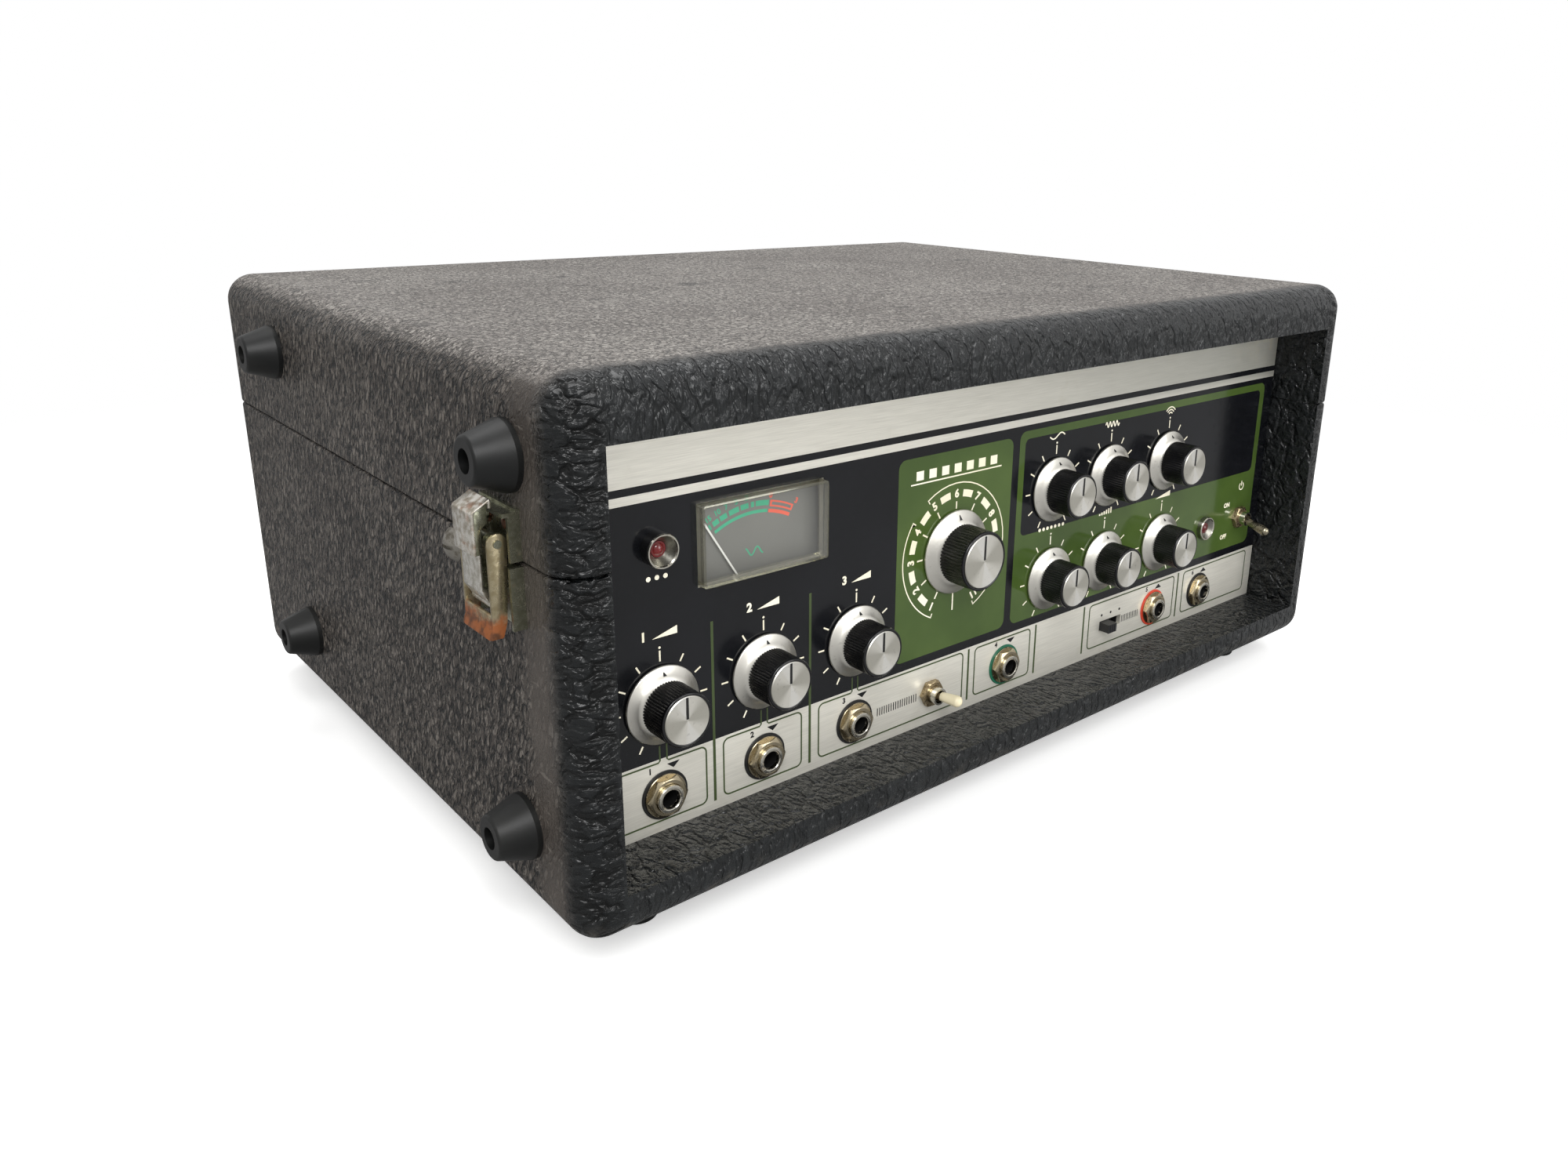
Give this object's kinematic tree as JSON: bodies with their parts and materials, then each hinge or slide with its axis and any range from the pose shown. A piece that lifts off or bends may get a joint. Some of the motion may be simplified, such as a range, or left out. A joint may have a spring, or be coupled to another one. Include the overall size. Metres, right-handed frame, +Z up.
{
  "type": "tape echo unit",
  "caption": "Portable tape echo in a leathercloth case: lift-off lid, latches, recessed control panel, and a tape deck with capstan, heads and a folded tape loop inside.",
  "frame": {"origin": "on the floor, under the middle of the whole object's box, with the rubber feet standing at z = 0", "axes": "+X to the player's right along the front, +Y from the front to the rear, +Z up"},
  "size_m": [0.424, 0.3, 0.183],
  "materials": {
    "leathercloth": "pebbled, satin",
    "foot_rubber": "matte",
    "plated_steel": "dull plating",
    "latch_nickel": "tarnished",
    "strap_vinyl": "grained",
    "panel_aluminium": "brushed and printed",
    "knob_black": "fluted",
    "control_metal": "plated",
    "jack_nickel": "tarnished",
    "jack_fibre": "matte",
    "toggle_chrome": "polished",
    "ivory_sleeve": "smooth",
    "switch_body": "moulded",
    "meter_housing": "moulded",
    "dial_card": "printed",
    "needle_white": "matte",
    "clear_cover": "clear",
    "lens_red": "translucent",
    "chassis_steel": "zinc plated",
    "deck_black": "satin",
    "motor_steel": "satin",
    "pulley_brass": "turned",
    "turned_steel": "turned",
    "drive_rubber": "matte",
    "tape_brown": "smooth",
    "cover_smoke": "smooth",
    "board_green": "laminate",
    "transformer_iron": "laminated"
  },
  "bodies": {
    "case": {"lower_case": "leathercloth", "case_feet": "foot_rubber", "case_foot_screws": "plated_steel", "dome_screws": "plated_steel", "latch_bases": "latch_nickel", "handle_strap": "strap_vinyl", "handle_end_caps": "plated_steel", "rear_panel": "panel_aluminium", "cord_gland": "switch_body", "fuse_holder": "switch_body", "front_panel": "panel_aluminium", "rotary_controls": "control_metal", "panel_nuts": "jack_nickel", "jack_sockets": "jack_nickel", "jack_rings": "jack_fibre", "toggle_switches": "toggle_chrome", "range_switch": "switch_body", "meter_case": "meter_housing", "meter_dial": "dial_card", "meter_cover": "clear_cover", "lamp_bezels": "toggle_chrome", "lamp_lenses": "lens_red", "chassis": "chassis_steel", "deck_plate": "deck_black", "drive_motor": "motor_steel", "drive_belt": "drive_rubber", "solenoid": "motor_steel", "head_block": "turned_steel", "tape_loop": "tape_brown", "tape_cover": "cover_smoke", "reverb_tank": "motor_steel", "transformer": "transformer_iron", "circuit_board": "board_green"},
    "lid": {"lid": "leathercloth", "lid_feet": "foot_rubber", "lid_foot_screws": "plated_steel", "latch_keepers": "latch_nickel"},
    "left_latch_lever": {"left_latch_lever": "latch_nickel"},
    "left_latch_claw": {"left_latch_claw": "latch_nickel"},
    "right_latch_lever": {"right_latch_lever": "latch_nickel"},
    "right_latch_claw": {"right_latch_claw": "latch_nickel"},
    "mode_selector_knob": {"mode_selector_knob": "knob_black"},
    "power_toggle_lever": {"power_toggle_lever": "toggle_chrome"},
    "echo_toggle_lever": {"echo_toggle_lever": "ivory_sleeve"},
    "range_slider": {"range_slider": "switch_body"},
    "meter_needle": {"meter_needle": "needle_white"},
    "capstan_flywheel": {"capstan_flywheel": "turned_steel"},
    "motor_pulley": {"motor_pulley": "pulley_brass"},
    "pinch_arm": {"pinch_arm": "turned_steel"},
    "pinch_roller": {"pinch_roller": "drive_rubber"},
    "solenoid_plunger": {"solenoid_plunger": "turned_steel"},
    "mic_1_knob": {"mic_1_knob": "knob_black"},
    "mic_2_knob": {"mic_2_knob": "knob_black"},
    "instrument_knob": {"instrument_knob": "knob_black"},
    "repeat_rate_knob": {"repeat_rate_knob": "knob_black"},
    "intensity_knob": {"intensity_knob": "knob_black"},
    "echo_volume_knob": {"echo_volume_knob": "knob_black"},
    "bass_knob": {"bass_knob": "knob_black"},
    "treble_knob": {"treble_knob": "knob_black"},
    "reverb_volume_knob": {"reverb_volume_knob": "knob_black"}
  },
  "joints": [
    {"name": "lid_lift", "type": "slide", "parent": "case", "child": "lid", "axis": [0, 0, 1], "range_m": [0, 0.15]},
    {"name": "left_latch_open", "type": "hinge", "parent": "case", "child": "left_latch_lever", "pos_m": [-0.206, -0.116, 0.135], "axis": [0, 1, 0], "range_deg": [-5, 75]},
    {"name": "left_claw_swing", "type": "hinge", "parent": "left_latch_lever", "child": "left_latch_claw", "pos_m": [-0.206, -0.116, 0.117], "axis": [0, 1, 0], "range_deg": [-68, 5]},
    {"name": "right_latch_open", "type": "hinge", "parent": "case", "child": "right_latch_lever", "pos_m": [0.206, -0.116, 0.135], "axis": [0, -1, 0], "range_deg": [-5, 75]},
    {"name": "right_claw_swing", "type": "hinge", "parent": "right_latch_lever", "child": "right_latch_claw", "pos_m": [0.206, -0.116, 0.117], "axis": [0, -1, 0], "range_deg": [-68, 5]},
    {"name": "mic_1_turn", "type": "hinge", "parent": "case", "child": "mic_1_knob", "pos_m": [-0.1573, -0.126, 0.0727], "axis": [0, 1, 0], "range_deg": [-150, 150]},
    {"name": "mic_2_turn", "type": "hinge", "parent": "case", "child": "mic_2_knob", "pos_m": [-0.1177, -0.126, 0.0727], "axis": [0, 1, 0], "range_deg": [-150, 150]},
    {"name": "instrument_turn", "type": "hinge", "parent": "case", "child": "instrument_knob", "pos_m": [-0.0773, -0.126, 0.0727], "axis": [0, 1, 0], "range_deg": [-150, 150]},
    {"name": "repeat_rate_turn", "type": "hinge", "parent": "case", "child": "repeat_rate_knob", "pos_m": [0.0269, -0.126, 0.0724], "axis": [0, 1, 0], "range_deg": [-150, 150]},
    {"name": "intensity_turn", "type": "hinge", "parent": "case", "child": "intensity_knob", "pos_m": [0.062, -0.126, 0.0724], "axis": [0, 1, 0], "range_deg": [-150, 150]},
    {"name": "echo_volume_turn", "type": "hinge", "parent": "case", "child": "echo_volume_knob", "pos_m": [0.1029, -0.126, 0.0724], "axis": [0, 1, 0], "range_deg": [-150, 150]},
    {"name": "bass_turn", "type": "hinge", "parent": "case", "child": "bass_knob", "pos_m": [0.0269, -0.126, 0.1103], "axis": [0, 1, 0], "range_deg": [-150, 150]},
    {"name": "treble_turn", "type": "hinge", "parent": "case", "child": "treble_knob", "pos_m": [0.062, -0.126, 0.1103], "axis": [0, 1, 0], "range_deg": [-150, 150]},
    {"name": "reverb_volume_turn", "type": "hinge", "parent": "case", "child": "reverb_volume_knob", "pos_m": [0.1029, -0.126, 0.1103], "axis": [0, 1, 0], "range_deg": [-150, 150]},
    {"name": "mode_selector_turn", "type": "hinge", "parent": "case", "child": "mode_selector_knob", "pos_m": [-0.0289, -0.126, 0.0958], "axis": [0, 1, 0], "range_deg": [-150, 180]},
    {"name": "power_toggle_flip", "type": "hinge", "parent": "case", "child": "power_toggle_lever", "pos_m": [0.168, -0.128, 0.0718], "axis": [-1, 0, 0], "range_deg": [0, 32]},
    {"name": "echo_toggle_flip", "type": "hinge", "parent": "case", "child": "echo_toggle_lever", "pos_m": [-0.0389, -0.128, 0.0408], "axis": [0, 0, -1], "range_deg": [0, 26]},
    {"name": "range_slide", "type": "slide", "parent": "case", "child": "range_slider", "axis": [1, 0, 0], "range_m": [0, 0.0088]},
    {"name": "meter_needle_swing", "type": "hinge", "parent": "case", "child": "meter_needle", "pos_m": [-0.1177, -0.1224, 0.095], "axis": [0, 1, 0], "range_deg": [0, 64]},
    {"name": "capstan_spin", "type": "hinge", "parent": "case", "child": "capstan_flywheel", "pos_m": [0.08, -0.04945, 0.12], "axis": [0, 0, 1], "continuous": true},
    {"name": "motor_pulley_spin", "type": "hinge", "parent": "case", "child": "motor_pulley", "pos_m": [0.14, 0.05, 0.115], "axis": [0, 0, 1], "continuous": true},
    {"name": "pinch_arm_swing", "type": "hinge", "parent": "case", "child": "pinch_arm", "pos_m": [0.112, -0.0346, 0.14], "axis": [0, 0, 1], "range_deg": [0, 7]},
    {"name": "pinch_roller_spin", "type": "hinge", "parent": "pinch_arm", "child": "pinch_roller", "pos_m": [0.08006, -0.03265, 0.135], "axis": [0, 0, 1], "continuous": true},
    {"name": "solenoid_pull", "type": "slide", "parent": "case", "child": "solenoid_plunger", "axis": [0, 1, 0], "range_m": [0, 0.0022]}
  ],
  "couplings": [
    {"joint": "left_claw_swing", "follows": "left_latch_open", "ratio": -0.9},
    {"joint": "right_claw_swing", "follows": "right_latch_open", "ratio": -0.9},
    {"joint": "motor_pulley_spin", "follows": "capstan_spin", "ratio": 3.5641},
    {"joint": "solenoid_pull", "follows": "pinch_arm_swing", "m_per_rad": 0.0175}
  ]
}
